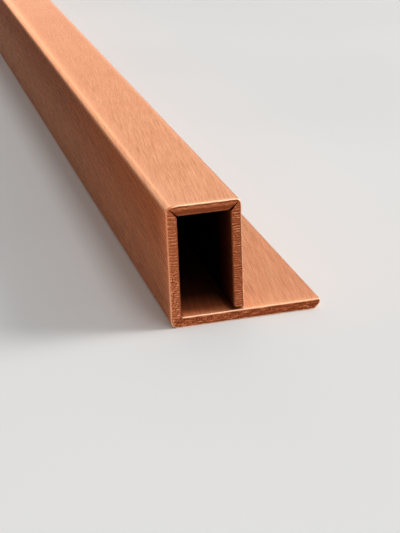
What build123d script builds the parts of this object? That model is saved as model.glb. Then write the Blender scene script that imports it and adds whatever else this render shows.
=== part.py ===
from build123d import *
from math import sqrt
import os

# Flanged box profile folded from one strip of copper sheet, in millimetres.
# The strip is V-grooved on its inner side, so each fold has a tight outer corner and a mitre seam inside.
# From the flange's free edge it runs under the box as the base sheet, up as the left wall, across as the
# top and down as the right wall, whose free edge stops just above the base sheet.
# X runs across the profile, Y along it and Z up. The origin is under the middle of the base, at mid-length.

# Overall sizes
profile_length = 1000.0
sheet = 2.0
box_width = 14.0
box_height = 23.5
flange_width = 14.75

# Folds: outer radius of each corner, and the whole metal between that curve and the start of its open seam
bottom_left_radius = 1.5
top_left_radius = 1.0
top_right_radius = 1.0
bottom_left_skin = 0.9
top_left_skin = 0.3
top_right_skin = 0.6

# Seams: width at the groove's blind end, and at its mouth inside each corner
seam_tip = 0.08
bottom_left_mouth = 0.16
top_left_mouth = 0.24
top_right_mouth = 0.42

# Right wall's free edge: the gap under it and its rounded inner corner
wall_gap = 0.45
wall_foot_radius = 0.55

# Flange's free edge: its rounded upper corner, the bevel at its lower one, and how that rounds into its faces
flange_edge_radius = 0.3
bevel = 1.15
bevel_blend = 0.75

# Break on the edges of both cut ends
end_break = 0.2

# Places worked out from the sizes
base_width = box_width + flange_width
left = -base_width / 2
right = left + box_width
flange_edge = left + base_width
top = box_height
foot = sheet + wall_gap

bottom_left_corner = (left, 0)
top_left_corner = (left, top)
top_right_corner = (right, top)
flange_upper_corner = (flange_edge, sheet)
flange_lower_corner = (flange_edge, 0)


def vertex_at(face, point):
    """The corner of the section that lies at a point."""
    return face.vertices().sort_by_distance(Vector(*point))[0]


def folded_section():
    """Section of the folded strip, still without its seams, in X and Z."""
    outer_side = [
        flange_lower_corner,
        bottom_left_corner,
        top_left_corner,
        top_right_corner,
        (right, foot),
    ]
    inner_side = [
        (right - sheet, foot),
        (right - sheet, top - sheet),
        (left + sheet, top - sheet),
        (left + sheet, sheet),
        flange_upper_corner,
    ]
    section = make_face(Polyline(*outer_side, *inner_side, close=True))
    section = fillet(vertex_at(section, bottom_left_corner), bottom_left_radius)
    section = fillet(vertex_at(section, top_left_corner), top_left_radius)
    section = fillet(vertex_at(section, top_right_corner), top_right_radius)
    section = fillet(vertex_at(section, (right - sheet, foot)), wall_foot_radius)
    section = fillet(vertex_at(section, flange_upper_corner), flange_edge_radius)
    section = chamfer(vertex_at(section, flange_lower_corner), bevel)
    bevel_corners = [
        vertex_at(section, (flange_edge, bevel)),
        vertex_at(section, (flange_edge - bevel, 0)),
    ]
    return fillet(bevel_corners, bevel_blend)


def seam(corner, inwards, radius, skin, mouth):
    """Mitre seam of one fold: a narrow wedge from under the outer skin to the inner corner, and past it."""
    corner = Vector(*corner)
    inwards = Vector(*inwards).normalized()
    across = Vector(-inwards.Y, inwards.X)
    start = (sqrt(2) - 1) * radius + skin
    inner_corner = sqrt(2) * sheet
    end = inner_corner + sheet
    widening = (mouth - seam_tip) / (inner_corner - start)
    end_width = mouth + widening * (end - inner_corner)
    return make_face(
        Polyline(
            corner + inwards * start + across * (seam_tip / 2),
            corner + inwards * end + across * (end_width / 2),
            corner + inwards * end - across * (end_width / 2),
            corner + inwards * start - across * (seam_tip / 2),
            close=True,
        )
    )


def along_profile(section, extra=0.0):
    """A section in X and Z, drawn out along Y to both sides of mid-length."""
    return extrude(Plane.XZ * section, profile_length / 2 + extra, both=True)


folded_profile = along_profile(folded_section())

end_faces = folded_profile.faces().filter_by(Axis.Y)
folded_profile = chamfer(end_faces.edges(), end_break)

seams = [
    seam(bottom_left_corner, (1, 1), bottom_left_radius, bottom_left_skin, bottom_left_mouth),
    seam(top_left_corner, (1, -1), top_left_radius, top_left_skin, top_left_mouth),
    seam(top_right_corner, (-1, -1), top_right_radius, top_right_skin, top_right_mouth),
]
for each_seam in seams:
    folded_profile -= along_profile(each_seam, extra=sheet)

os.makedirs("parts", exist_ok=True)
export_step(folded_profile, "parts/folded_profile.step")
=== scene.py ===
from math import atan2, ceil, cos, hypot, pi, radians, sin, sqrt, tan

import bpy
from mathutils import Matrix, Vector, noise
from mathutils.geometry import delaunay_2d_cdt


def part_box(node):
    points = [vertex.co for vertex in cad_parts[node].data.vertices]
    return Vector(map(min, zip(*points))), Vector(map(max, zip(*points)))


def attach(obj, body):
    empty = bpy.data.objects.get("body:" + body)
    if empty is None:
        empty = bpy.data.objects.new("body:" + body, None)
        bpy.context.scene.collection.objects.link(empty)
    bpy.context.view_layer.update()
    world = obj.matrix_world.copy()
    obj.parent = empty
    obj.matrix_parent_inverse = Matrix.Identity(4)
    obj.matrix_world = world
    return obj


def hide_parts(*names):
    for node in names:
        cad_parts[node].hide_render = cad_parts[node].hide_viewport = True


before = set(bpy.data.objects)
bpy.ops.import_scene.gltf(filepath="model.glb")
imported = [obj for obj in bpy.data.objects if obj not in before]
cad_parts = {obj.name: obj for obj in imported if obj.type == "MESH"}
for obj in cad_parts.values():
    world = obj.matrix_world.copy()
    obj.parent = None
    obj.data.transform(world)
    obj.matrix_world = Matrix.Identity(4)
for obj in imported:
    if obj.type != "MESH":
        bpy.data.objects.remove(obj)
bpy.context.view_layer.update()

MM = 0.001
ROOT_TWO = sqrt(2)

# Sizes of the section, in millimetres, as all lengths are up to the finished mesh. X runs across the
# section, Z runs up, and the profile lies along Y.
box_low, box_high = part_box("folded_profile")
LEFT, FLANGE_EDGE = box_low.x / MM, box_high.x / MM
TOP = box_high.z / MM
HALF_LENGTH = box_high.y / MM
SHEET = 2.0
BOX_WIDTH = 14.0
RIGHT = LEFT + BOX_WIDTH
FOOT_GAP = 0.45
FOOT = SHEET + FOOT_GAP
WALL_FOOT_RADIUS = 0.55
FLANGE_EDGE_RADIUS = 0.3
BEVEL = 1.15
BEVEL_BLEND = 0.75
# the upper left fold as a chain of bends, each with its length and its turn in degrees: a soft shoulder, a
# narrow sloping band and a tight turn into the side
TOP_LEFT_FOLD = ((1.5, 9), (0.3, 8), (0.35, 11), (0.5, 8), (0.46, 54))
# drop of the top beside that fold, how far it reaches, and how deep below the top it has faded out
SAG_DROP, SAG_REACH, SAG_FADE = 0.07, 3.8, 0.9
# softened folds: reach of the rounding along each face, and two shape values of its curve
TOP_RIGHT_FOLD = (1.5, 0.85, 0.29)
BOTTOM_LEFT_FOLD = (2.2, 1.25, 0.42)
# seams: radius of the fold, unbroken skin outside it, and width at the mouth
SEAMS = {"bottom_left": (1.5, 0.9, 0.16), "top_left": (1.0, 0.52, 0.24), "top_right": (1.0, 0.6, 0.42)}
# each seam's corner of the section and the way inwards from it
SEAM_CORNERS = {"bottom_left": ((LEFT, 0), (1, 1)), "top_left": ((LEFT, TOP), (1, -1)),
                "top_right": ((RIGHT, TOP), (-1, -1))}
SEAM_TIP = 0.08

# Steps of the outline and of the cut faces
STRAIGHT_STEP = 0.2
CURVE_STEP = 0.1
SEAM_STEP = 0.5
FOLD_STEPS = 26
FEWEST_ARC_STEPS = 4
CORNER_ROOM = 0.38          # kept free beside a sharp corner, for its broken edges
KEEP_EVERY = 3              # every third point of a straight run goes on along the whole length
FACE_STEP = 0.13
ROW_PITCH = 0.866           # distance of the cut face's rows, in steps
FACE_MARGIN = 0.29          # the cut face's own points stay this far inside the outline
TOUCH = 0.1                 # a place this near to a plane counts as lying on it
EXACT = 1e-6


def smooth(low, high, value):
    """0 at low, 1 at high, with gentle ends; low may be the greater of the two."""
    t = min(1, max(0, (value - low) / (high - low)))
    return t * t * (3 - 2 * t)


def hump(value, middle, half):
    """1 at the middle, 0 half a width away from it, with gentle ends."""
    return smooth(half, 0, abs(value - middle))


def peak(value, middle, half):
    """1 at the middle, falling straight to 0 half a width away from it."""
    return max(0.0, 1 - abs(value - middle) / half)


def moved(point, direction, distance):
    return point[0] + direction[0] * distance, point[1] + direction[1] * distance


# The section's outline
def line(a, b, step, clear=(0, 0)):
    """Points from a up to b, b left out, with room at both ends for the broken edges of sharp corners."""
    length = hypot(b[0] - a[0], b[1] - a[1])
    count = max(1, round(length / step))
    spots = [length * i / count for i in range(count)]
    spots = [s for s in spots if s == 0 or clear[0] <= s <= length - clear[1]]
    return [(a[0] + (b[0] - a[0]) * s / length, a[1] + (b[1] - a[1]) * s / length) for s in spots]


def fold(corner, along_in, along_out, shape):
    """Rounding of an outer fold that starts and ends gently: a curve of the fifth degree."""
    reach, near, nearer = shape
    pulls = [(reach, 0), (near, 0), (nearer, 0), (0, nearer), (0, near), (0, reach)]
    weights = (1, 5, 10, 10, 5, 1)
    points = []
    for i in range(FOLD_STEPS + 1):
        t = i / FOLD_STEPS
        b = [w * t ** k * (1 - t) ** (5 - k) for k, w in enumerate(weights)]
        back = sum(v * p[0] for v, p in zip(b, pulls))
        ahead = sum(v * p[1] for v, p in zip(b, pulls))
        points.append((corner[0] - along_in[0] * back + along_out[0] * ahead,
                       corner[1] - along_in[1] * back + along_out[1] * ahead))
    return points


def bends(corner, along_in, along_out, chain):
    """Rounding of a right-angled fold made of bends of different tightness."""
    ahead = down = angle = 0.0
    path = [(0.0, 0.0)]
    for length, turn in chain:
        count = max(2, ceil(length / CURVE_STEP))
        for _ in range(count):
            middle = angle + radians(turn) / count / 2
            ahead += length / count * cos(middle)
            down += length / count * sin(middle)
            angle += radians(turn) / count
            path.append((ahead, down))
    return [(corner[0] + along_in[0] * (a - ahead) + along_out[0] * d,
             corner[1] + along_in[1] * (a - ahead) + along_out[1] * d) for a, d in path]


def arc(corner, along_in, along_out, radius):
    """Circular rounding between two directions of travel."""
    turn = atan2(along_in[0] * along_out[1] - along_in[1] * along_out[0],
                 along_in[0] * along_out[0] + along_in[1] * along_out[1])
    side = 1 if turn > 0 else -1
    reach = radius * tan(abs(turn) / 2)
    start = (corner[0] - along_in[0] * reach, corner[1] - along_in[1] * reach)
    centre = (start[0] - along_in[1] * radius * side, start[1] + along_in[0] * radius * side)
    dx, dy = start[0] - centre[0], start[1] - centre[1]
    count = max(FEWEST_ARC_STEPS, ceil(radius * abs(turn) / CURVE_STEP))
    points = []
    for i in range(count + 1):
        a = turn * i / count
        points.append((centre[0] + dx * cos(a) - dy * sin(a), centre[1] + dx * sin(a) + dy * cos(a)))
    return points


def skin_depth(radius):
    """How far inside its sharp corner a fold's outer surface lies on the diagonal."""
    return (ROOT_TWO - 1) * radius


def slit(name, arriving, leaving):
    """The four points of a seam's slit, met while the outline runs along the inner faces."""
    radius, skin, mouth = SEAMS[name]
    corner, inwards = SEAM_CORNERS[name]
    along = (inwards[0] / ROOT_TWO, inwards[1] / ROOT_TWO)
    across = (-along[1], along[0])
    if across[0] * arriving[0] + across[1] * arriving[1] > 0:
        across = (-across[0], -across[1])
    # the mouth's edges lie on the inner faces, half the mouth's width to each side of the diagonal
    inner_corner = moved(corner, along, ROOT_TWO * SHEET)
    half = mouth / 2 * ROOT_TWO
    tip = moved(corner, along, skin_depth(radius) + skin)
    return (moved(inner_corner, arriving, -half), moved(tip, across, SEAM_TIP / 2),
            moved(tip, across, -SEAM_TIP / 2), moved(inner_corner, leaving, half))


def outline():
    """Points round the section: place, whether kept along the whole length, whether part of a seam."""
    up, down, west, east = (0, 1), (0, -1), (-1, 0), (1, 0)
    slope = (1 / ROOT_TWO, 1 / ROOT_TWO)
    points = []

    def run(path, keep_all=False, seam=False):
        for i, p in enumerate(path):
            points.append((p[0], p[1], keep_all or i % KEEP_EVERY == 0, seam))

    def straight(a, b, clear=(0, 0)):
        run(line(a, b, STRAIGHT_STEP, clear))

    top_right = fold((RIGHT, TOP), up, west, TOP_RIGHT_FOLD)
    top_left = bends((LEFT, TOP), west, down, TOP_LEFT_FOLD)
    bottom_left = fold((LEFT, 0), down, east, BOTTOM_LEFT_FOLD)
    bevel_low = arc((FLANGE_EDGE - BEVEL, 0), east, slope, BEVEL_BLEND)
    bevel_high = arc((FLANGE_EDGE, BEVEL), slope, up, BEVEL_BLEND)
    flange_edge = arc((FLANGE_EDGE, SHEET), up, west, FLANGE_EDGE_RADIUS)
    foot = arc((RIGHT - SHEET, FOOT), down, east, WALL_FOOT_RADIUS)

    # up the right wall's outer face, over the top, down the left side and along the underside
    straight((RIGHT, FOOT), top_right[0], clear=(CORNER_ROOM, 0))
    run(top_right[:-1], keep_all=True)
    here = top_right[-1]
    for corner in (top_left, bottom_left, bevel_low, bevel_high, flange_edge):
        straight(here, corner[0])
        run(corner[:-1], keep_all=True)
        here = corner[-1]
    # back along the inner faces, in and out of the three seams, and round the right wall's foot
    for name, arriving, leaving in (("bottom_left", west, up), ("top_left", up, east),
                                    ("top_right", east, down)):
        first, tip_first, tip_last, last = slit(name, arriving, leaving)
        straight(here, first)
        run(line(first, tip_first, SEAM_STEP), keep_all=True, seam=True)
        run([tip_first], keep_all=True, seam=True)
        run(line(tip_last, last, SEAM_STEP), keep_all=True, seam=True)
        here = last
    straight(here, foot[0])
    run(foot[:-1], keep_all=True)
    straight(foot[-1], (RIGHT, FOOT), clear=(0, CORNER_ROOM))

    for i, (x, z, kept, seam) in enumerate(points):
        if z > TOP - SAG_FADE and x - LEFT < SAG_REACH:
            drop = SAG_DROP * (1 - (x - LEFT) / SAG_REACH) ** 2 * smooth(TOP - SAG_FADE, TOP, z)
            points[i] = (x, z - drop, kept, seam)
    return points


OUTLINE = outline()
COUNT = len(OUTLINE)

# Noise of the cut faces: each layer's own seed, and how fast it changes across and up, per millimetre
SLOW = (1, 0.35, 0.35)
GRIT = (5, 3.4, 3.4)
RIB_BEND = (2, 0.5, 0.55)
RIB_JITTER = (6, 0.9, 1.7)
RIB_STRENGTH = (7, 0.5, 1.1)
WALL_SPECKS = (13, 4.2, 4.2)
TEAR_BEND = (4, 0.6, 0.2)
TEAR_FRAY = (6, 2.2, 0.8)
TOP_STREAK = (8, 0.9, 5.0)
BASE_STREAK = (3, 0.9, 2.9)
BASE_PIT = (9, 2.6, 3.6)
BASE_STROKE = (12, 0.55, 4.4)
BASE_SPECKS = (13, 4.8, 4.8)
EDGE_WEAR = (20, 0.9, 0.9)


def layer(x, z, seed, settings):
    """One layer of noise at a place of the cut face."""
    own_seed, across, up = settings
    return noise.noise(Vector((x * across, z * up, seed + own_seed)))


def steps(value, stops):
    """Smooth steps between (place, height) stops."""
    for (a, low), (b, high) in zip(stops, stops[1:]):
        if value < b:
            return low + (high - low) * smooth(a, b, value)
    return stops[-1][1]


# Saw ribs: how many per millimetre of fall below the top, and how much closer they come as it goes on
LEFT_RIBS, RIGHT_RIBS = (1.1, 0.035), (2.1, 0.01)
RIB_BOW, RIB_BEND_SIZE, RIB_JITTER_SIZE = 0.10, 0.30, 0.12
# place and half width of a rib's crest, lightened as painted highlight, and of the cut beside it, darkened as
# painted shade, in ribs
CREST, CUT = (0.5, 0.24), (0.14, 0.3)
WEAKEST_RIB, RIB_STRENGTH_SPREAD = 0.35, 0.35
WALL_DEPTH, CREST_HEIGHT, CUT_DEPTH, WALL_WAVE = 0.06, 0.05, 0.03, 0.02
# tone runs from 0, dark, to 1, light
WALL_TONE, CREST_HIGHLIGHT, CUT_SHADE, WALL_GRIT = 0.34, 0.42, 0.20, 0.26
# the right wall's crests and cuts get more painted highlight and shade, its whole face is darker, and painted
# shade lies along its outer edge; painted highlight lies along the left wall's outer edge
RIGHT_CREST_HIGHLIGHT, RIGHT_CUT_SHADE, RIGHT_DARKER, RIGHT_EDGE_SHADE = 0.26, 0.14, 0.12, 0.4
LEFT_EDGE_HIGHLIGHT, LEFT_SPECKS = 0.22, 0.8
# where these begin and are full: in from the outer faces, and down from the top
RIGHT_EDGE_BAND, LEFT_EDGE_BAND, LEFT_SPECKS_DOWN = (0.45, 0.15), (0.55, 0.15), (9, 15)


def wall_marks(x, z, seed, slow, grit):
    """Depth and tone of the ribs across the walls: wide apart at the left wall's top, close elsewhere. The
    tone paints highlight on the crests and shade in the cuts, highlight along the left wall's outer edge and
    shade along the right wall's.
    """
    right_wall = x > (LEFT + RIGHT) / 2
    middle = RIGHT - SHEET / 2 if right_wall else LEFT + SHEET / 2
    fall = TOP - z
    fall += (RIB_BOW * (x - middle) ** 2 + RIB_BEND_SIZE * layer(x, z, seed, RIB_BEND)
             + RIB_JITTER_SIZE * layer(x, z, seed, RIB_JITTER))
    rate, gain = RIGHT_RIBS if right_wall else LEFT_RIBS
    wave = (rate * fall + gain * fall ** 2) % 1
    crest, cut = peak(wave, *CREST), peak(wave, *CUT)
    spread = RIB_STRENGTH_SPREAD
    strength = WEAKEST_RIB + (1 - WEAKEST_RIB) * smooth(-spread, spread, layer(x, z, seed, RIB_STRENGTH))
    depth = WALL_DEPTH - CREST_HEIGHT * crest * strength + CUT_DEPTH * cut * strength + WALL_WAVE * slow
    tone = WALL_TONE + strength * (CREST_HIGHLIGHT * crest - CUT_SHADE * cut) + WALL_GRIT * grit
    if right_wall:
        tone += (strength * (RIGHT_CREST_HIGHLIGHT * crest - RIGHT_CUT_SHADE * cut) - RIGHT_DARKER
                 - RIGHT_EDGE_SHADE * smooth(*RIGHT_EDGE_BAND, RIGHT - x))
    else:
        specks = smooth(*LEFT_SPECKS_DOWN, TOP - z) * layer(x, z, seed, WALL_SPECKS)
        tone += LEFT_EDGE_HIGHLIGHT * smooth(*LEFT_EDGE_BAND, x - LEFT) + LEFT_SPECKS * specks
    return depth, tone


# Through the folded top, from its upper face down: a groove under the edge, a light lip, a torn lower part.
# The tone paints highlight on the edge, on the lip and at the inner edge, and shade in the groove and on the
# torn lower part
TOP_DEPTH = ((0.0, 0.02), (0.09, 0.02), (0.16, 0.065), (0.24, 0.05), (0.46, 0.015), (0.52, 0.02),
             (0.9, 0.10), (1.0, 0.10))
TOP_TONE = ((0.0, 0.40), (0.1, 0.05), (0.2, 0.05), (0.29, 0.45), (0.46, 0.36), (0.56, 0.0), (0.8, 0.0),
            (0.95, 0.30))
TEAR_BEND_SIZE, TEAR_FRAY_SIZE = 0.10, 0.05
TOP_STREAK_TONE, TOP_GRIT = 0.24, 0.16


def top_marks(x, z, seed, grit):
    """Depth and tone of the cut through the top, the tone with bands of painted highlight and painted shade.
    """
    t = ((TOP - z) / SHEET + TEAR_BEND_SIZE * layer(x, z, seed, TEAR_BEND)
         + TEAR_FRAY_SIZE * layer(x, z, seed, TEAR_FRAY))
    tone = steps(t, TOP_TONE) + TOP_STREAK_TONE * layer(x, z, seed, TOP_STREAK) + TOP_GRIT * grit
    return steps(t, TOP_DEPTH), tone


BASE_DEPTH, BASE_STREAK_DEPTH, BASE_GRIT_DEPTH, PIT_DEPTH = 0.05, 0.03, 0.02, 0.03
PIT_NOISE = (0.25, 0.5)     # the noise at which a pit begins, and is full
STROKE_SLANT = 0.8
BASE_TONE, STREAK_TONE, STROKE_TONE, BASE_GRIT, SPECK_TONE = 0.225, 0.26, 0.52, 0.36, 0.42
# painted light low down at the left, painted shade along the lower edge, and darker out on the flange, each
# with where it begins and is full: by height, and by the place across, from the left side or from the right
# wall
LOW_LEFT_PAINTED_LIGHT, LOW_LEFT_HEIGHTS, LOW_LEFT_ACROSS = 0.12, (0.9, 0.5), (9, 5)
LOWER_EDGE_SHADE, LOWER_EDGE_HEIGHTS = 0.2, (0.45, 0.2)
FLANGE_DARK, FLANGE_DARK_ACROSS = 0.10, (-4, 2)


def base_marks(x, z, seed, grit):
    """Depth and tone of the cut through the base sheet: short strokes, streaks and specks, with painted light
    low at the left and painted shade along the lower edge.
    """
    streak = layer(x, z, seed, BASE_STREAK)
    stroke = layer(x + STROKE_SLANT * z, z, seed, BASE_STROKE)
    specks = layer(x, z, seed, BASE_SPECKS)
    pit = smooth(*PIT_NOISE, layer(x, z, seed, BASE_PIT))
    depth = BASE_DEPTH + BASE_STREAK_DEPTH * streak + BASE_GRIT_DEPTH * grit - PIT_DEPTH * pit
    tone = BASE_TONE + STREAK_TONE * streak + STROKE_TONE * stroke + BASE_GRIT * grit + SPECK_TONE * specks
    tone += (LOW_LEFT_PAINTED_LIGHT * smooth(*LOW_LEFT_HEIGHTS, z) * smooth(*LOW_LEFT_ACROSS, x - LEFT)
             - LOWER_EDGE_SHADE * smooth(*LOWER_EDGE_HEIGHTS, z))
    tone -= FLANGE_DARK * smooth(*FLANGE_DARK_ACROSS, x - RIGHT)
    return depth, tone


MITRE_BLEND = 0.15
GRIT_DEPTH = 0.006


def level_share(x, z):
    """1 in the top and the base, 0 in the walls. In the corners their marks meet on the diagonal."""
    if z > TOP - SHEET and (x < LEFT + SHEET or x > RIGHT - SHEET):
        side = x - LEFT if x < LEFT + SHEET else RIGHT - x
        return smooth(-MITRE_BLEND, MITRE_BLEND, side - (TOP - z))
    if z < SHEET and x < LEFT + SHEET:
        return smooth(-MITRE_BLEND, MITRE_BLEND, (x - LEFT) - z)
    return 1.0 if z > TOP - SHEET or z < SHEET else 0.0


def relief(x, z, seed):
    """Depth of the cut face behind the end plane, and how light its metal is from 0 to 1."""
    level = level_share(x, z)
    slow, grit = layer(x, z, seed, SLOW), layer(x, z, seed, GRIT)
    wall_depth, wall_tone = wall_marks(x, z, seed, slow, grit)
    level_marks = top_marks if z > TOP - SHEET and level > 0 else base_marks
    level_depth, level_tone = level_marks(x, z, seed, grit)
    depth = (1 - level) * wall_depth + level * level_depth
    tone = (1 - level) * wall_tone + level * level_tone
    return max(0.0, depth + GRIT_DEPTH * grit), min(1.0, max(0.0, tone))


# The mesh's points, each with the values that its looks follow
vertices, faces, cut_faces, grain = [], [], set(), []
looks = {"cut_tone": [], "inner_face": [], "broken_edge": [], "depth": [], "shoulder_highlight": [], "upright": []}
arc_length = [0.0]
for a, b in zip(OUTLINE, OUTLINE[1:]):
    arc_length.append(arc_length[-1] + hypot(b[0] - a[0], b[1] - a[1]))
GRAIN_LEAN = tan(radians(7))
SEAM_SHADE_DEPTH = 6.0             # the seams get the inside's painted shade from their mouth on, as dark as the inner faces this far in
GAP_SHADE_DEPTH = 5.0              # and so does the gap under the right wall
# distance along the outline at which the flange's upper face begins, and with it the inner faces
INNER_FROM = arc_length[next(i for i, (x, z, _, _) in enumerate(OUTLINE)
                             if abs(z - SHEET) < EXACT and x < FLANGE_EDGE - TOUCH)]


# middle and half width of the painted highlight band on the shoulder beside each long edge, measured from
# that edge
LEFT_SHOULDER, RIGHT_SHOULDER, FLANGE_SHOULDER = (1.9, 1.5), (0.8, 0.9), (0.6, 0.8)
FLANGE_SHOULDER_HIGHLIGHT = 0.7
# how far from the upper faces a place still belongs to their shoulders
BELOW_SHOULDERS, NEAR_FLANGE = 0.9, 0.5


def shoulder_highlight(x, z):
    """How strongly painted highlight lightens a place of the section: the shoulders beside the long edges."""
    if z > TOP - BELOW_SHOULDERS and x < RIGHT + TOUCH:
        return max(hump(x - LEFT, *LEFT_SHOULDER), hump(RIGHT - x, *RIGHT_SHOULDER))
    if abs(z - SHEET) < NEAR_FLANGE and x > RIGHT:
        return FLANGE_SHOULDER_HIGHLIGHT * hump(FLANGE_EDGE - x, *FLANGE_SHOULDER)
    return 0.0


# the flange is darkened a little, and more in a strip beside the right wall, painted shade in the corner
# there
FLANGE_DARKENING, STRIP_SHADE, STRIP_WIDTH = 0.31, 0.15, 6
RIGHT_WALL_SHADE = 0.4
# the painted shade is weaker low down: painted light where the lower faces mirror the floor's shadow
LOW_SHADE, HIGH_SHADE, SHADE_HEIGHTS = 0.5, 0.45, (0, 22)
# where the painted shade begins and is full: in towards a wall's plane, down from the top, up from the
# underside, and inside, up from the base
TOWARDS_WALL, BELOW_TOP, ABOVE_BOTTOM, ABOVE_BASE = (0.22, 0.02), (0.5, 1.7), (-0.4, 0.5), (0.05, 0.4)


def upright(x, z, inside):
    """How much painted shade a place gets: 1 on the outer upright faces and on the inner walls and ceiling,
    less on the flange, 0 on the top.
    """
    if inside:
        return smooth(*ABOVE_BASE, z - SHEET)
    if x > RIGHT and z > SHEET - FLANGE_EDGE_RADIUS:
        return FLANGE_DARKENING + STRIP_SHADE * smooth(STRIP_WIDTH, 0, x - RIGHT)
    side = smooth(*TOWARDS_WALL, x - LEFT)
    if z > SHEET + TOUCH:
        side = max(side, RIGHT_WALL_SHADE * smooth(*TOWARDS_WALL, abs(RIGHT - x)))
    fading = smooth(*BELOW_TOP, TOP - z) * smooth(*ABOVE_BOTTOM, z)
    return side * fading * (LOW_SHADE + HIGH_SHADE * smooth(*SHADE_HEIGHTS, z))


# the gap under the right wall begins and is full here: from its outer face inwards, and from the inside out
GAP_FROM_OUTSIDE, GAP_FROM_INSIDE = (0.2, -0.3), (-1.0, 0.0)


def under_wall(x, z):
    """How deep a place lies in the gap between the right wall's foot and the base."""
    if not SHEET - TOUCH < z < FOOT + WALL_FOOT_RADIUS:
        return 0.0
    return smooth(*GAP_FROM_OUTSIDE, x - RIGHT) * smooth(*GAP_FROM_INSIDE, x - (RIGHT - SHEET))


# how strong the painted highlight is on each broken edge of a cut face
TOP_LEFT_EDGE, TOP_EDGE, BASE_EDGE, LEFT_EDGE = 0.2, 1.0, 1.0, 0.5
LOWER_EDGE, RIGHT_INNER_EDGE, INNER_EDGE = 0.1, 0.15, 0.28
EDGE_NEAR = 0.3             # a place this near to a face's plane belongs to the edge there
RIGHT_EDGE_BELOW = 1.5      # the right wall's outer edge begins this far below the top
# the top's edge grows brighter from the left corner on, and upwards to the top face
TOP_EDGE_ACROSS, TOP_EDGE_DOWN = (0.5, 1.8), (1.2, 0.3)


def edge_highlight_weight(x, z):
    """The painted highlight is strongest on the edges along the upper faces and weaker on the upright and
    lower ones; the right wall's outer edge, which lies in shade, gets none.
    """
    if x > RIGHT - TOUCH and FOOT - TOUCH < z < TOP - RIGHT_EDGE_BELOW:
        return 0.0
    if x < RIGHT + TOUCH and z > TOP - TOP_EDGE_DOWN[0]:
        along = TOP_LEFT_EDGE + (TOP_EDGE - TOP_LEFT_EDGE) * smooth(*TOP_EDGE_ACROSS, x - LEFT)
        return max(TOP_LEFT_EDGE, smooth(*TOP_EDGE_DOWN, TOP - z) * along)
    if abs(z - SHEET) < EDGE_NEAR:
        return BASE_EDGE
    if x < LEFT + TOUCH:
        return LEFT_EDGE
    if z < EDGE_NEAR:
        return LOWER_EDGE
    right_inner = abs(x - RIGHT + SHEET) < EDGE_NEAR and z > FOOT + WALL_FOOT_RADIUS
    return RIGHT_INNER_EDGE if right_inner else INNER_EDGE


INSIDE_FROM = (-0.15, 0.1)  # in from the right wall's outer face, where the inside begins and is full


def add(place, along, section, tone=0.0, edge=0.0, seam=False, painted_shade=0.0):
    """One vertex, with the looks of the place of the section that it belongs to."""
    x, z = section
    y = place[1]
    inside = along > INNER_FROM and x < RIGHT + TOUCH
    vertices.append([v * MM for v in place])
    grain.append(((along + (y + HALF_LENGTH) * GRAIN_LEAN) * MM, y * MM, 0))
    looks["cut_tone"].append(tone)
    looks["broken_edge"].append(edge)
    looks["inner_face"].append(smooth(*INSIDE_FROM, RIGHT - x) if inside else 0.0)
    # the seams and the gap under the right wall count as lying deeper in, so the inside's painted shade
    # darkens them
    looks["depth"].append(HALF_LENGTH - abs(y) + (SEAM_SHADE_DEPTH if seam else GAP_SHADE_DEPTH * under_wall(x, z)))
    looks["shoulder_highlight"].append(shoulder_highlight(x, z))
    looks["upright"].append(max(painted_shade, upright(x, z, inside)))
    return len(vertices) - 1


# The cut ends
END_BREAK = 0.2
END_BREAK_UNEVEN = 0.3
SEAM_BREAK = 0.03
WIDER_AT_TOP, WIDER_AT_BASE = 0.25, 0.35
# how strong the painted edge highlight is on each ring, from the cut face to the long faces
EDGE_SHINE = (0.5, 0.9, 1.0, 1.0, 0.7)
NEARLY_STRAIGHT = 0.12      # sine of the turn below which two edges of the outline count as one
# where the wider break begins and is full: at the top, down from its face and in from its two corners, and
# at the base, in from the left wall and from the flange's edge
TOP_DOWN, TOP_FROM_LEFT, TOP_FROM_RIGHT = (0.1, 0.02), (2, 4), (1.5, 3)
BASE_FROM_WALL, BASE_FROM_EDGE = (0.5, 1.5), (0.4, 1.2)
# painted shade at the top's left corner of the cut end too: in from the left side, and down from the top
CORNER_ACROSS, CORNER_DOWN = (2.2, 0.8), (1.5, 0.5)


def worn_edge(x, z):
    """The broken edge is wider along the top and along the base's upper face than on the other edges."""
    top = smooth(*TOP_DOWN, TOP - z) * smooth(*TOP_FROM_LEFT, x - LEFT) * smooth(*TOP_FROM_RIGHT, RIGHT - x)
    base = 0
    if abs(z - SHEET) < EXACT:
        base = smooth(*BASE_FROM_WALL, x - LEFT - SHEET) * smooth(*BASE_FROM_EDGE, FLANGE_EDGE - x)
    return 1 + WIDER_AT_TOP * top + WIDER_AT_BASE * base


def inset_moves(points, amount):
    """For each point, the move that shifts the outline's two edges there inwards by their own amounts."""
    moves = []
    for i in range(len(points)):
        before, here, after = points[i - 1], points[i], points[(i + 1) % len(points)]
        normals = []
        for a, b in ((before, here), (here, after)):
            length = hypot(b[0] - a[0], b[1] - a[1])
            normals.append((-(b[1] - a[1]) / length, (b[0] - a[0]) / length))
        (ax, az), (bx, bz) = normals
        da, db = amount[i - 1], amount[i]
        det = ax * bz - az * bx
        if abs(det) < NEARLY_STRAIGHT:
            mx, mz = (ax + bx) / 2, (az + bz) / 2
            size = mx * mx + mz * mz
            moves.append((mx * (da + db) / 2 / size, mz * (da + db) / 2 / size))
        else:
            moves.append(((da * bz - db * az) / det, (db * ax - da * bx) / det))
    return moves


def facing(loop, sign):
    """A loop that faces the front, turned round for the far end."""
    return loop if sign < 0 else loop[::-1]


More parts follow.
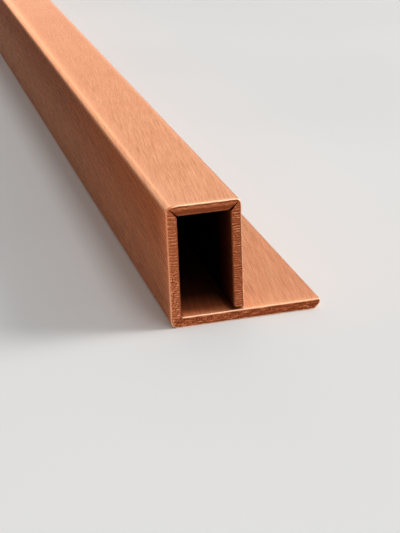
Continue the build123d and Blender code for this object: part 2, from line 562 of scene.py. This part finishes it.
def edge_rings(sign, seed, outer, amount, moves, inner):
    """The rounded broken edge, as rings from the cut face to the long faces."""
    marks = [relief(x, z, seed) for x, z in inner]
    rings = []
    last = len(EDGE_SHINE) - 1
    for k, shine in enumerate(EDGE_SHINE):
        angle = pi / 2 * k / last
        inset, set_back, share = 1 - sin(angle), 1 - cos(angle), cos(angle)
        ring = []
        for i, (x, z) in enumerate(outer):
            dx, dz = moves[i]
            depth, tone = marks[i]
            seam = OUTLINE[i][3]
            y = HALF_LENGTH - (set_back * amount[i] + depth * share)
            edge = 0.0 if seam else shine * edge_highlight_weight(x, z)
            # painted shade on the broken edge at the top's left corner
            painted_shade = 0.0
            if arc_length[i] < INNER_FROM:
                painted_shade = smooth(*CORNER_ACROSS, x - LEFT) * smooth(*CORNER_DOWN, TOP - z)
            place = (x + dx * inset, sign * y, z + dz * inset)
            ring.append(add(place, arc_length[i], (x, z), tone, edge, seam, painted_shade))
        rings.append(ring)
    for a, b in zip(rings, rings[1:]):
        for i in range(COUNT):
            j = (i + 1) % COUNT
            faces.append(facing((b[i], b[j], a[j], a[i]), sign))
    return rings


# kept free round a seam: before its tip, past its mouth and beside it
TIP_ROOM, MOUTH_ROOM, SEAM_ROOM = 0.12, 1.0, 0.1
# the curve of a softened fold comes a little nearer than the circle, and the bevel slants
FOLD_SHARE, BEVEL_SHARE = 0.98, 1.5


def in_section(x, z, margin):
    """Whether a point lies in the sheet, at least that far from its faces and clear of the seams."""
    for name, ((cx, cz), (ux, uz)) in SEAM_CORNERS.items():
        radius, skin, mouth = SEAMS[name]
        along = ((x - cx) * ux + (z - cz) * uz) / ROOT_TWO
        across = abs((x - cx) * uz - (z - cz) * ux) / ROOT_TWO
        start = skin_depth(radius)
        beside = start + skin - TIP_ROOM < along < ROOT_TWO * SHEET + MOUTH_ROOM
        if beside and across < mouth / 2 + SEAM_ROOM:
            return False
        if along < start + margin:
            return False
        if across < radius and along < ROOT_TWO * radius - radius * FOLD_SHARE + margin:
            return False
    base = margin < z < SHEET - margin and LEFT + margin < x < FLANGE_EDGE - margin
    if base and x - (FLANGE_EDGE - BEVEL) > z - margin * BEVEL_SHARE:
        base = False
    left = LEFT + margin < x < LEFT + SHEET - margin and margin < z < TOP - margin
    top = TOP - SHEET + margin < z < TOP - margin and LEFT + margin < x < RIGHT - margin
    right = RIGHT - SHEET + margin < x < RIGHT - margin and FOOT + margin < z < TOP - margin
    return base or left or top or right


# what the triangulation is asked for: only what lies inside the loop, and points merged when this near
INSIDE_THE_LOOP, MERGE_WITHIN = 1, 1e-7


def cut_face(sign, seed, inner, ring):
    """The face itself: a fine triangle mesh inside the innermost ring."""
    inside = []
    for r in range(int(TOP / (FACE_STEP * ROW_PITCH)) + 2):
        z = r * FACE_STEP * ROW_PITCH
        for c in range(int((FLANGE_EDGE - LEFT) / FACE_STEP) + 2):
            x = LEFT + (c + 0.5 * (r % 2)) * FACE_STEP
            if in_section(x, z, FACE_MARGIN):
                inside.append((x, z))
    points = [Vector(p) for p in inner + inside]
    loop = list(range(COUNT))
    found, _, triangles, origins, _, sources = delaunay_2d_cdt(
        points, [], [loop], INSIDE_THE_LOOP, MERGE_WITHIN, True)
    # a triangle without a source lies outside the section
    triangles = [t for t, source in zip(triangles, sources) if source]
    ids = {}
    for i in sorted({i for t in triangles for i in t}):
        v, origin = found[i], origins[i]
        if origin and origin[0] < COUNT:
            ids[i] = ring[origin[0]]
        else:
            depth, tone = relief(v.x, v.y, seed)
            ids[i] = add((v.x, sign * (HALF_LENGTH - depth), v.y), 0, (v.x, v.y), tone)
    for t in triangles:
        a, b, c = (found[i] for i in t)
        turned = (b.x - a.x) * (c.y - a.y) - (b.y - a.y) * (c.x - a.x) > 0
        # seen from the front, X runs right and Z up, so a counter-clockwise triangle faces -Y
        cut_faces.add(len(faces))
        triangle = [ids[i] for i in t]
        faces.append(triangle if turned == (sign < 0) else triangle[::-1])


def end_cap(sign, seed):
    """One cut end: its rounded edge and its face. Returns the ring that the long faces start from."""
    outer = [(x, z) for x, z, _, _ in OUTLINE]
    amount = []
    for x, z, _, seam in OUTLINE:
        uneven = 1 + END_BREAK_UNEVEN * layer(x, z, seed, EDGE_WEAR)
        amount.append(SEAM_BREAK if seam else END_BREAK * uneven * worn_edge(x, z))
    moves = inset_moves(outer, amount)
    inner = [(x + dx, z + dz) for (x, z), (dx, dz) in zip(outer, moves)]
    rings = edge_rings(sign, seed, outer, amount, moves, inner)
    cut_face(sign, seed, inner, rings[0])
    return rings[-1]


# The long faces: rings along the length, with every third point of the straight runs
NEAR_END = (0.8, 1.6, 2.5, 3.5, 5.0)
RING_SPACING = 25


def ring_at(y, kept):
    """A ring of vertices round the section, at one place along the length."""
    ring = []
    for i in kept:
        x, z, _, seam = OUTLINE[i]
        ring.append(add((x, y, z), arc_length[i], (x, z), seam=seam))
    return ring


def long_faces(front, back):
    """The faces along the whole length, from the front end's outer ring to the far end's."""
    kept = [i for i in range(COUNT) if OUTLINE[i][2]]
    stations = [-HALF_LENGTH + d for d in NEAR_END]
    stations += [-HALF_LENGTH + RING_SPACING / 2 + RING_SPACING * i
                 for i in range(round(2 * HALF_LENGTH / RING_SPACING))]
    stations += [HALF_LENGTH - d for d in reversed(NEAR_END)]
    rings = [ring_at(y, kept) for y in stations]
    for a, b in zip(rings, rings[1:]):
        for k in range(len(kept)):
            m = (k + 1) % len(kept)
            faces.append((b[k], b[m], a[m], a[k]))
    # the fine end rings meet the coarser ones
    for fine, coarse, sign in ((front, rings[0], -1), (back, rings[-1], 1)):
        for k in range(len(kept)):
            m = (k + 1) % len(kept)
            start, stop = kept[k], kept[m] if kept[m] > kept[k] else kept[m] + COUNT
            run = [fine[n % COUNT] for n in range(start, stop + 1)]
            faces.append(facing([coarse[k], coarse[m]] + run[::-1], sign))


FRONT_SEED, BACK_SEED = 11.0, 31.0
long_faces(end_cap(-1, FRONT_SEED), end_cap(1, BACK_SEED))

# The piece. From here on lengths are in metres.
SHARP_FROM = 38             # degrees
mesh = bpy.data.meshes.new("folded_copper_profile")
mesh.from_pydata(vertices, [], faces)
mesh.update()
attribute = mesh.attributes.new("grain", "FLOAT_VECTOR", "POINT")
attribute.data.foreach_set("vector", [v for g in grain for v in g])
for name, numbers in looks.items():
    attribute = mesh.attributes.new(name, "FLOAT", "POINT")
    attribute.data.foreach_set("value", numbers)
mesh.polygons.foreach_set("material_index", [1 if i in cut_faces else 0 for i in range(len(faces))])
mesh.shade_smooth()
mesh.set_sharp_from_angle(angle=radians(SHARP_FROM))
profile = bpy.data.objects.new("folded_copper_profile", mesh)
bpy.context.scene.collection.objects.link(profile)
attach(profile, "root")
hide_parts("folded_profile")


class Nodes:
    """Short hand for a node tree. A value is a number, a colour or another node's output."""

    def __init__(self, tree):
        self.tree = tree

    def feed(self, socket, value):
        if isinstance(value, bpy.types.NodeSocket):
            self.tree.links.new(value, socket)
        else:
            socket.default_value = value

    def put(self, node, name, value):
        self.feed(node.inputs[name], value)

    def make(self, kind, settings=(), **inputs):
        node = self.tree.nodes.new(kind)
        for name, value in dict(settings).items():
            setattr(node, name, value)
        for name, value in inputs.items():
            self.put(node, name.replace("_", " "), value)
        return node

    def attribute(self, name, output="Fac"):
        return self.make("ShaderNodeAttribute", {"attribute_name": name}).outputs[output]

    def math(self, operation, *values):
        node = self.make("ShaderNodeMath", {"operation": operation})
        for socket, value in zip(node.inputs, values):
            self.feed(socket, value)
        return node.outputs[0]

    def stretched(self, vector, scale, detail, roughness):
        """Noise in a vector's space, scaled in each direction, in the range 0 to 1."""
        place = self.make("ShaderNodeMapping", Vector=vector, Scale=scale)
        texture = self.make("ShaderNodeTexNoise", Scale=1.0, Detail=detail, Roughness=roughness,
                            Vector=place.outputs[0])
        return texture.outputs["Fac"]

    def mix(self, kind, factor, first, second):
        node = self.make("ShaderNodeMix", {"data_type": "RGBA", "blend_type": kind})
        # the sockets of a colour mix: its factor, A and B
        for index, value in ((0, factor), (6, first), (7, second)):
            self.feed(node.inputs[index], value)
        return node.outputs[2]

    def ramp(self, value, *stops):
        node = self.make("ShaderNodeValToRGB")
        elements = node.color_ramp.elements
        while len(elements) < len(stops):
            elements.new(0.5)
        for element, (place, colour) in zip(elements, stops):
            element.position = place
            element.color = (*colour, 1)
        self.put(node, "Fac", value)
        return node.outputs["Color"]

    def remap(self, value, low, high, to_low, to_high):
        return self.make("ShaderNodeMapRange", Value=value, From_Min=low, From_Max=high, To_Min=to_low,
                         To_Max=to_high).outputs["Result"]


def material(name):
    made = bpy.data.materials.new(name)
    made.use_nodes = True
    tree = made.node_tree
    tree.nodes.clear()
    n = Nodes(tree)
    shader = n.make("ShaderNodeBsdfPrincipled")
    out = n.make("ShaderNodeOutputMaterial")
    tree.links.new(shader.outputs[0], out.inputs["Surface"])
    return made, n, shader


# Brushed metal: scales per metre across the grain, along it and through it, then detail and roughness
FINE_GRAIN = ((4600, 150, 1), 1, 0.5)
MEDIUM_GRAIN = ((2400, 70, 1), 2, 0.6)
COARSE_GRAIN = ((3000, 50, 1), 3, 0.65)
BROAD_GRAIN = ((300, 20, 1), 3, 0.55)
MOTTLE = ((130, 60, 1), 3, 0.6)
BROAD_SHARE = 0.14
GRAIN_COLOURS = ((0.36, (0.70, 0.355, 0.228)), (0.5, (0.84, 0.45, 0.285)), (0.64, (0.95, 0.53, 0.348)))
MOTTLE_TINTS = ((0.35, (0.97, 0.92, 0.92)), (0.65, (1.0, 1.02, 0.98)))
SHOULDER_HIGHLIGHT_COLOUR, SHOULDER_HIGHLIGHT_SHARE = (1.0, 0.54, 0.36, 1), 0.55
EDGE_HIGHLIGHT_COLOUR, EDGE_HIGHLIGHT_SHARE = (1.0, 0.61, 0.39, 1), 0.8
SPECULAR_TINT = (0.78, 0.53, 0.41, 1)
# painted shade of the upright faces: far from the cut ends, nearer to them, and painted light right beside
# them
SHADE_FAR, SHADE_NEAR, LIGHT_AT_END = (0.30, 0.115, 0.045, 1), (0.60, 0.27, 0.13, 1), (1.1, 0.62, 0.43, 1)
SCORE_TINTS = ((0.36, (0.72, 0.66, 0.62)), (0.64, (1.1, 1.1, 1.1)))
SCORE_SKIN, PLAIN_SKIN, FAR_SKIN = 0.52, 0.28, 1.35
# distances from the cut end, in millimetres, as the mesh carries them, and how steeply two of them fall off
END_HIGHLIGHT_REACH, END_LIGHT_REACH, SHADE_REACH, SKIN_REACH = 2.4, 9, 110, 150
SHADE_FROM = 5
END_HIGHLIGHT_FALL, END_LIGHT_FALL = 2.0, 1.5
# noise between which the scores, and the hairlines' roughness, go from one of their values to the other
SCORE_NOISE, LINE_NOISE, LINE_ROUGHNESS = (0.36, 0.64), (0.38, 0.62), (0.22, 0.32)
EDGE_ROUGHER, INSIDE_ROUGHER = 0.15, 0.5
INSIDE_METAL = 0.1          # the share of the metal's mirror that the dull inside keeps
BUMP, EDGE_BUMP, EDGE_BUMP_FULL, BUMP_HEIGHT = 0.3, 0.05, 0.6, 0.00003
# inside, from the mouth inwards, over a stretch of 10 mm: colours that paint the shade deepening into the box
INSIDE_REACH = 10
INSIDE_COLOURS = ((0.0, (1.0, 0.31, 0.125)), (0.35, (0.44, 0.11, 0.042)), (1.0, (0.09, 0.025, 0.012)))
INSIDE_TINTS = ((0.35, (0.8, 0.76, 0.76)), (0.6, (1.0, 1.0, 1.0)))
INNER_WALL_SHADE = (0.13, 0.10, 0.10, 1)


def brushed_copper():
    made, n, shader = material("brushed_copper")
    place = n.attribute("grain", "Vector")
    inner = n.attribute("inner_face")
    edge = n.attribute("broken_edge")
    inner = n.math("MULTIPLY", inner, n.math("SUBTRACT", 1.0, edge))
    depth = n.attribute("depth")
    shoulder_share = n.attribute("shoulder_highlight")
    side = n.attribute("upright")
    fine = n.stretched(place, *FINE_GRAIN)
    medium = n.stretched(place, *MEDIUM_GRAIN)
    coarse = n.stretched(place, *COARSE_GRAIN)
    broad = n.stretched(place, *BROAD_GRAIN)
    mottle = n.stretched(place, *MOTTLE)
    lines = n.math("ADD", n.math("MULTIPLY", fine, 0.5), n.math("MULTIPLY", medium, 0.5))
    tone = n.math("ADD", n.math("MULTIPLY", lines, 1 - BROAD_SHARE), n.math("MULTIPLY", broad, BROAD_SHARE))
    colour = n.ramp(tone, *GRAIN_COLOURS)
    colour = n.mix("MULTIPLY", 1.0, colour, n.ramp(mottle, *MOTTLE_TINTS))
    # painted highlight on the shoulders beside the long edges
    colour = n.mix("MIX", n.math("MULTIPLY", shoulder_share, SHOULDER_HIGHLIGHT_SHARE), colour, SHOULDER_HIGHLIGHT_COLOUR)
    # painted highlight: the metal is bright on the broken edges, and a little way along the upper faces from
    # them
    near_cut = n.math("POWER", n.remap(depth, 0, END_HIGHLIGHT_REACH, 1, 0), END_HIGHLIGHT_FALL)
    edge_and_end_highlight = n.math("MAXIMUM", edge, near_cut)
    colour = n.mix("MIX", n.math("MULTIPLY", edge_and_end_highlight, EDGE_HIGHLIGHT_SHARE), colour, EDGE_HIGHLIGHT_COLOUR)
    # painted shade on the upright faces, darker far from the ends, giving way to painted light towards the
    # ends
    painted_shade = n.mix("MIX", n.remap(depth, SHADE_FROM, SHADE_REACH, 1, 0), SHADE_FAR, SHADE_NEAR)
    end_light = n.math("POWER", n.remap(depth, 0, END_LIGHT_REACH, 1, 0), END_LIGHT_FALL)
    painted_shade = n.mix("MIX", end_light, painted_shade, LIGHT_AT_END)
    painted_shade = n.mix("MULTIPLY", 1.0, painted_shade, n.ramp(coarse, *SCORE_TINTS))
    colour = n.mix("MULTIPLY", side, colour, painted_shade)
    # painted shade inside the box: darker deeper in from the mouth and in the seams and the gap, darker still
    # on the inner walls and ceiling
    inside_shade = n.ramp(n.math("MULTIPLY", depth, 1 / INSIDE_REACH), *INSIDE_COLOURS)
    inside_shade = n.mix("MULTIPLY", 1.0, inside_shade, n.ramp(medium, *INSIDE_TINTS))
    inside_shade = n.mix("MULTIPLY", side, inside_shade, INNER_WALL_SHADE)
    n.put(shader, "Base Color", n.mix("MIX", inner, colour, inside_shade))
    # where the painted shade lies the mirror is also taken off the metal, most of all in the scores and away
    # from the ends
    skin = n.math("MULTIPLY", side, n.remap(coarse, *SCORE_NOISE, SCORE_SKIN, PLAIN_SKIN))
    skin = n.math("MULTIPLY", skin, n.remap(depth, SHADE_FROM, SKIN_REACH, 1.0, FAR_SKIN))
    bare = n.math("MULTIPLY", n.math("SUBTRACT", 1.0, skin), n.remap(inner, 0, 1, 1.0, INSIDE_METAL))
    n.put(shader, "Metallic", n.math("MAXIMUM", bare, edge))
    n.put(shader, "Specular Tint", SPECULAR_TINT)
    n.put(shader, "Specular IOR Level", 0.0)
    rough = n.remap(lines, *LINE_NOISE, *LINE_ROUGHNESS)
    rough = n.math("ADD", rough, n.math("MULTIPLY", edge, EDGE_ROUGHER))
    n.put(shader, "Roughness", n.math("ADD", rough, n.math("MULTIPLY", inner, INSIDE_ROUGHER)))
    bump = n.make("ShaderNodeBump", Distance=BUMP_HEIGHT, Height=lines)
    n.put(bump, "Strength", n.remap(edge, 0, EDGE_BUMP_FULL, BUMP, EDGE_BUMP))
    n.put(shader, "Normal", bump.outputs[0])
    return made


CUT_GRIT = ((4200, 4200, 4200), 2, 0.6)
CUT_GRIT_SHARE = 0.2
CUT_NOISE, CUT_ROUGHNESS = (0.3, 0.7), (0.34, 0.5)
CUT_BUMP, CUT_BUMP_HEIGHT = 0.7, 0.00005
CUT_COLOURS = ((0.15, (0.25, 0.055, 0.02)), (0.4, (0.47, 0.13, 0.05)), (0.62, (0.74, 0.27, 0.125)),
               (0.9, (1.0, 0.52, 0.31)))


def cut_copper():
    made, n, shader = material("cut_copper")
    place = n.make("ShaderNodeTexCoord").outputs["Object"]
    marks = n.attribute("cut_tone")
    grit = n.stretched(place, *CUT_GRIT)
    tone = n.math("ADD", n.math("MULTIPLY", marks, 1 - CUT_GRIT_SHARE),
                  n.math("MULTIPLY", grit, CUT_GRIT_SHARE))
    n.put(shader, "Base Color", n.ramp(tone, *CUT_COLOURS))
    n.put(shader, "Metallic", 1.0)
    n.put(shader, "Roughness", n.remap(grit, *CUT_NOISE, *CUT_ROUGHNESS))
    bump = n.make("ShaderNodeBump", Strength=CUT_BUMP, Distance=CUT_BUMP_HEIGHT, Height=grit)
    n.put(shader, "Normal", bump.outputs[0])
    return made


mesh.materials.append(brushed_copper())
mesh.materials.append(cut_copper())

# The floor and the backdrop
FLOOR_HALF = 40.0
FLOOR_CLOUDS = ((9, 9, 9), 2, 0.5)
FLOOR_COLOURS = ((0.3, (0.77, 0.765, 0.755)), (0.7, (0.80, 0.795, 0.785)))
FLOOR_ROUGHNESS, FLOOR_SPECULAR = 0.85, 0.2
# distances from the middle between which the floor darkens and lightens again, and how dark it gets
LAMP_RING_IN, LAMP_RING_OUT, LAMP_RING_TINT = (5.5, 8.5), (9.0, 11.0), (0.83, 0.83, 0.83, 1)
BACKDROP_SEEN, BACKDROP_LIGHT = (0.6, 0.597, 0.59, 1), (0.28, 0.28, 0.28, 1)


def floor_material():
    made, n, shader = material("pale_floor")
    place = n.make("ShaderNodeTexCoord").outputs["Object"]
    colour = n.ramp(n.stretched(place, *FLOOR_CLOUDS), *FLOOR_COLOURS)
    # far away the floor is a little darker where it runs under the back lamps
    length = n.make("ShaderNodeVectorMath", {"operation": "LENGTH"})
    n.feed(length.inputs[0], place)
    away = length.outputs["Value"]
    beyond, before = n.remap(away, *LAMP_RING_IN, 0.0, 1.0), n.remap(away, *LAMP_RING_OUT, 1.0, 0.0)
    under_lamps = n.math("MULTIPLY", beyond, before)
    n.put(shader, "Base Color", n.mix("MULTIPLY", under_lamps, colour, LAMP_RING_TINT))
    n.put(shader, "Roughness", FLOOR_ROUGHNESS)
    n.put(shader, "Specular IOR Level", FLOOR_SPECULAR)
    return made


floor_mesh = bpy.data.meshes.new("floor")
floor_mesh.from_pydata([(x * FLOOR_HALF, y * FLOOR_HALF, 0) for x, y in ((-1, -1), (1, -1), (1, 1), (-1, 1))],
                       [], [(0, 1, 2, 3)])
floor_mesh.materials.append(floor_material())
floor = bpy.data.objects.new("floor", floor_mesh)
bpy.context.scene.collection.objects.link(floor)

world = bpy.data.worlds.new("studio")
bpy.context.scene.world = world
world.use_nodes = True
sky = Nodes(world.node_tree)
ray = sky.make("ShaderNodeLightPath").outputs
seen = sky.math("MAXIMUM", ray["Is Glossy Ray"], ray["Is Transmission Ray"])
seen = sky.math("MAXIMUM", ray["Is Camera Ray"], seen)
sky.put(world.node_tree.nodes["Background"], "Color", sky.mix("MIX", seen, BACKDROP_LIGHT, BACKDROP_SEEN))


# The lamps
def bearing(azimuth, elevation):
    """Direction from the object, with the azimuth from +Y towards +X."""
    a, e = radians(azimuth), radians(elevation)
    return Vector((sin(a) * cos(e), cos(a) * cos(e), sin(e)))


def hang(lamp, towards, place=(0, 0, 0)):
    holder = bpy.data.objects.new(lamp.name, lamp)
    holder.location = place
    holder.rotation_euler = towards.to_track_quat("Z", "Y").to_euler()
    bpy.context.scene.collection.objects.link(holder)


# name, azimuth, elevation, distance, width, height, radiance, and the point that it hangs round
SOFTBOXES = (
    ("key_softbox", 13, 13, 8.85, 9.75, 4.8, 0.38, (0, -0.3, 0)),
    ("ridge_softbox", -1, 15, 8.7, 1.5, 3.6, 0.85, (0, -0.3, 0)),
    ("horizon_softbox", 5, 7, 9.15, 4.8, 1.5, 0.95, (0, -0.3, 0)),
    ("end_softbox", 15, 46, 3.0, 0.5, 2.0, 0.85, (0, -0.5, 0)),
    ("overhead_softbox", 0, 90, 1.3, 0.4, 2.1, 2.8, (0.28, -1.3, 0)),
)
for name, azimuth, elevation, distance, width, height, radiance, target in SOFTBOXES:
    lamp = bpy.data.lights.new(name, "AREA")
    lamp.shape = "RECTANGLE"
    lamp.size, lamp.size_y = width, height
    lamp.energy = radiance * pi * width * height
    towards = bearing(azimuth, elevation)
    hang(lamp, towards, Vector(target) + towards * distance)

# a large soft lamp far away on the right: its apparent size and its bearing in degrees, and its strength
FAR_LAMP_WIDTH, FAR_LAMP_BEARING, FAR_LAMP_STRENGTH = 28, (97, 29), 2.6
far_lamp = bpy.data.lights.new("far_softbox", "SUN")
far_lamp.angle = radians(FAR_LAMP_WIDTH)
far_lamp.energy = FAR_LAMP_STRENGTH
hang(far_lamp, bearing(*FAR_LAMP_BEARING))

# The camera, as fitted to the photograph
YAW, PITCH, ROLL = radians(13.995), radians(21.161), radians(2.412)
FOCAL_PIXELS = 1405.0
IMAGE_HEIGHT = 533
SENSOR = 36.0
CORNER_TO_CAMERA = Vector((-51.316, -229.442, 103.017)) * MM
CLIP_START = 0.01

forward = Vector((sin(YAW) * cos(PITCH), cos(YAW) * cos(PITCH), -sin(PITCH)))
level_right = Vector((cos(YAW), -sin(YAW), 0))
level_down = forward.cross(level_right)
right_axis = cos(ROLL) * level_right + sin(ROLL) * level_down
up_axis = sin(ROLL) * level_right - cos(ROLL) * level_down
camera_data = bpy.data.cameras.new("camera")
camera_data.sensor_width = SENSOR
camera_data.lens = FOCAL_PIXELS * SENSOR / IMAGE_HEIGHT
camera_data.clip_start = CLIP_START
camera = bpy.data.objects.new("camera", camera_data)
axes = Matrix((right_axis, up_axis, -forward)).transposed()
camera_place = Vector((box_low.x, box_low.y, 0)) + CORNER_TO_CAMERA
camera.matrix_world = Matrix.Translation(camera_place) @ axes.to_4x4()
bpy.context.scene.collection.objects.link(camera)
bpy.context.scene.camera = camera
bpy.context.scene.view_settings.view_transform = "Standard"
